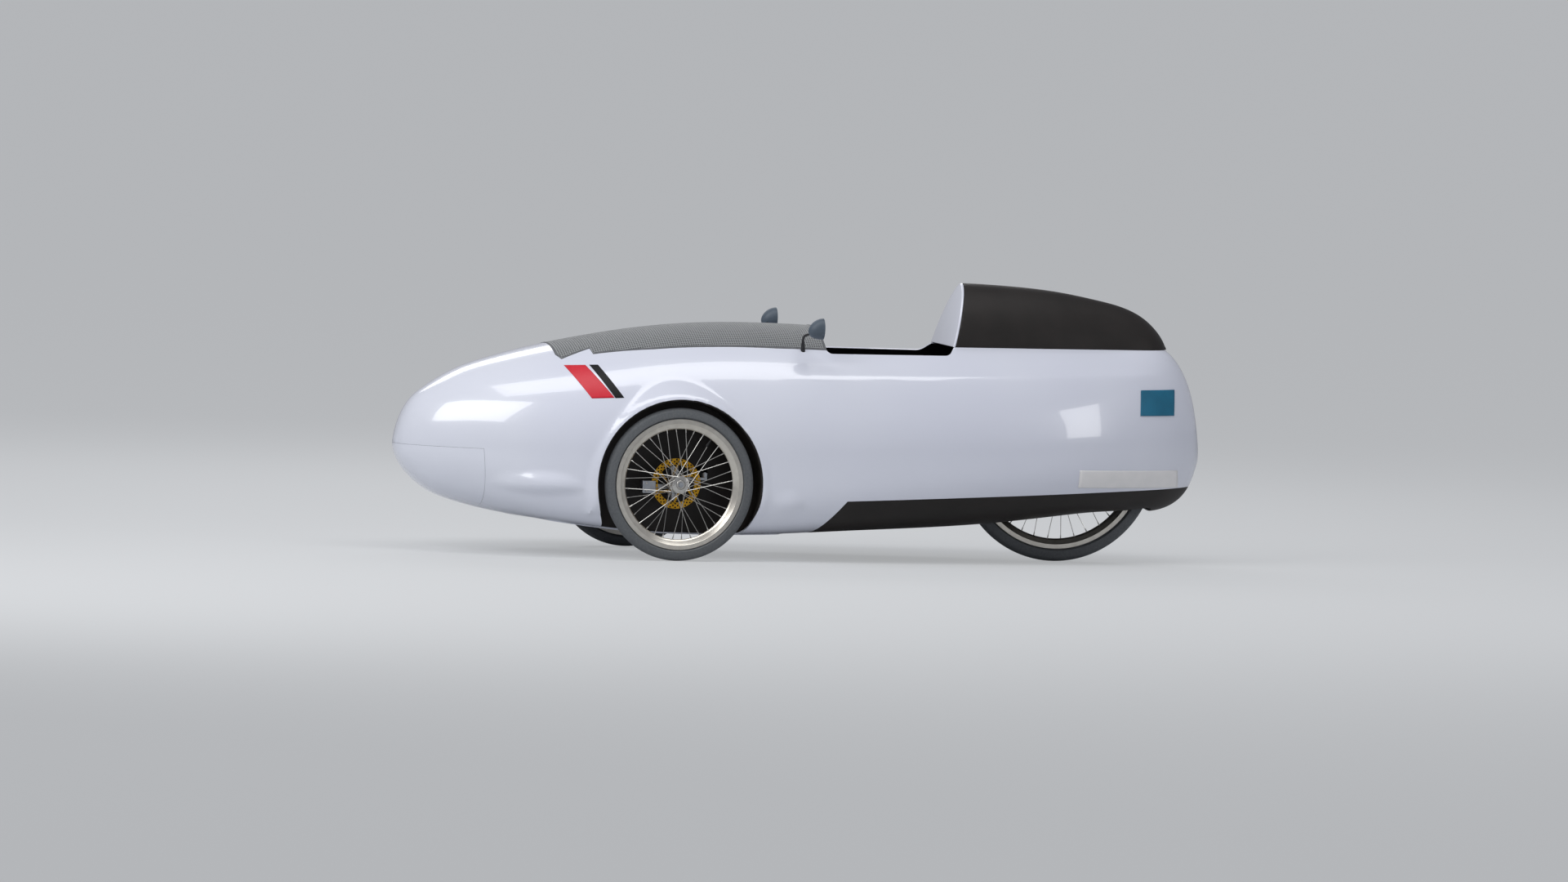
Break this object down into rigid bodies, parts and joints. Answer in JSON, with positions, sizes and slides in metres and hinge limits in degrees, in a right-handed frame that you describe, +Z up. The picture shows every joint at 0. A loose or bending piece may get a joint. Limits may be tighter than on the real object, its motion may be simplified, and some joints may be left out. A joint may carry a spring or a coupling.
{
  "type": "velomobile",
  "caption": "Fully bodied recumbent pedal tricycle with steered front wheels in arches, woven deck cover, open cockpit, tail hood and driven rear wheel.",
  "frame": {"origin": "on the ground under the middle of the body, half way between nose and tail and on the centre plane", "axes": "+X towards the nose, +Y to the rider's left, +Z up"},
  "size_m": [2.657, 0.708, 0.885],
  "materials": {
    "white_body": "glossy white gel coat on laminate",
    "black_laminate": "mat black laminate",
    "woven_cover": "coarse grey mesh cloth",
    "aluminium": "satin",
    "black_steel": "black paint",
    "gold_disc": "gold anodised",
    "tyre_rubber": "grey rubber",
    "dark_plastic": "moulded",
    "seat_cloth": "padded mesh cloth"
  },
  "bodies": {
    "root": {"body_shell": "white_body", "nose_cap": "white_body", "headrest_panel": "white_body", "belly_tray": "black_laminate", "rear_hood": "black_laminate", "wheel_housing_left": "black_laminate", "wheel_housing_right": "black_laminate", "seat_shell": "black_laminate", "deck_cover": "woven_cover", "seat_pad": "seat_cloth", "seat_foot_left": "aluminium", "seat_foot_right": "aluminium", "spine_tube": "aluminium", "cross_beam": "aluminium", "steering_post": "aluminium", "bottom_bracket": "aluminium", "rear_fork": "aluminium", "rear_axle": "black_steel", "battery_pack": "dark_plastic", "mirror_left": "dark_plastic", "mirror_right": "dark_plastic", "mirror_stalk_left": "black_steel", "mirror_stalk_right": "black_steel"},
    "steering_left": {"knuckle_left": "aluminium", "brake_caliper_left": "black_steel"},
    "steering_right": {"knuckle_right": "aluminium", "brake_caliper_right": "black_steel"},
    "wheel_front_left": {"front_wheel_left": "aluminium", "front_tyre_left": "tyre_rubber", "brake_rotor_left": "gold_disc"},
    "wheel_front_right": {"front_wheel_right": "aluminium", "front_tyre_right": "tyre_rubber", "brake_rotor_right": "gold_disc"},
    "wheel_rear": {"rear_wheel": "aluminium", "rear_tyre": "tyre_rubber", "rear_sprocket": "black_steel"},
    "link": {"track_rod": "aluminium"},
    "handlebar": {"tiller": "aluminium"},
    "cranks": {"crankset": "aluminium"},
    "pedal_l": {"pedal_left": "dark_plastic"},
    "pedal_r": {"pedal_right": "dark_plastic"}
  },
  "joints": [
    {"name": "steer_left", "type": "hinge", "parent": "root", "child": "steering_left", "pos_m": [0.4725, 0.265, 0.243], "axis": [0, 0, 1], "range_deg": [-16, 16]},
    {"name": "steer_right", "type": "hinge", "parent": "root", "child": "steering_right", "pos_m": [0.4725, -0.265, 0.243], "axis": [0, 0, 1], "range_deg": [-16, 16]},
    {"name": "tiller_swing", "type": "hinge", "parent": "root", "child": "handlebar", "pos_m": [0.4725, 0, 0.29], "axis": [0, 0, 1], "range_deg": [-16, 16]},
    {"name": "track_rod_pivot", "type": "hinge", "parent": "steering_left", "child": "link", "pos_m": [0.3725, 0.265, 0.27], "axis": [0, 0, 1], "range_deg": [-16, 16]},
    {"name": "front_left_spin", "type": "hinge", "parent": "steering_left", "child": "wheel_front_left", "pos_m": [0.4725, 0.325, 0.243], "axis": [0, 1, 0], "continuous": true},
    {"name": "front_right_spin", "type": "hinge", "parent": "steering_right", "child": "wheel_front_right", "pos_m": [0.4725, -0.325, 0.243], "axis": [0, 1, 0], "continuous": true},
    {"name": "rear_spin", "type": "hinge", "parent": "root", "child": "wheel_rear", "pos_m": [-0.8625, 0, 0.33], "axis": [0, 1, 0], "continuous": true},
    {"name": "crank_spin", "type": "hinge", "parent": "root", "child": "cranks", "pos_m": [0.8725, 0, 0.342], "axis": [0, 1, 0], "continuous": true},
    {"name": "pedal_left_spin", "type": "hinge", "parent": "cranks", "child": "pedal_l", "pos_m": [0.7325, 0.118, 0.342], "axis": [0, 1, 0], "continuous": true},
    {"name": "pedal_right_spin", "type": "hinge", "parent": "cranks", "child": "pedal_r", "pos_m": [1.0125, -0.136, 0.342], "axis": [0, 1, 0], "continuous": true}
  ],
  "couplings": [
    {"joint": "steer_right", "follows": "steer_left", "ratio": 1},
    {"joint": "tiller_swing", "follows": "steer_left", "ratio": 1},
    {"joint": "track_rod_pivot", "follows": "steer_left", "ratio": -1}
  ]
}
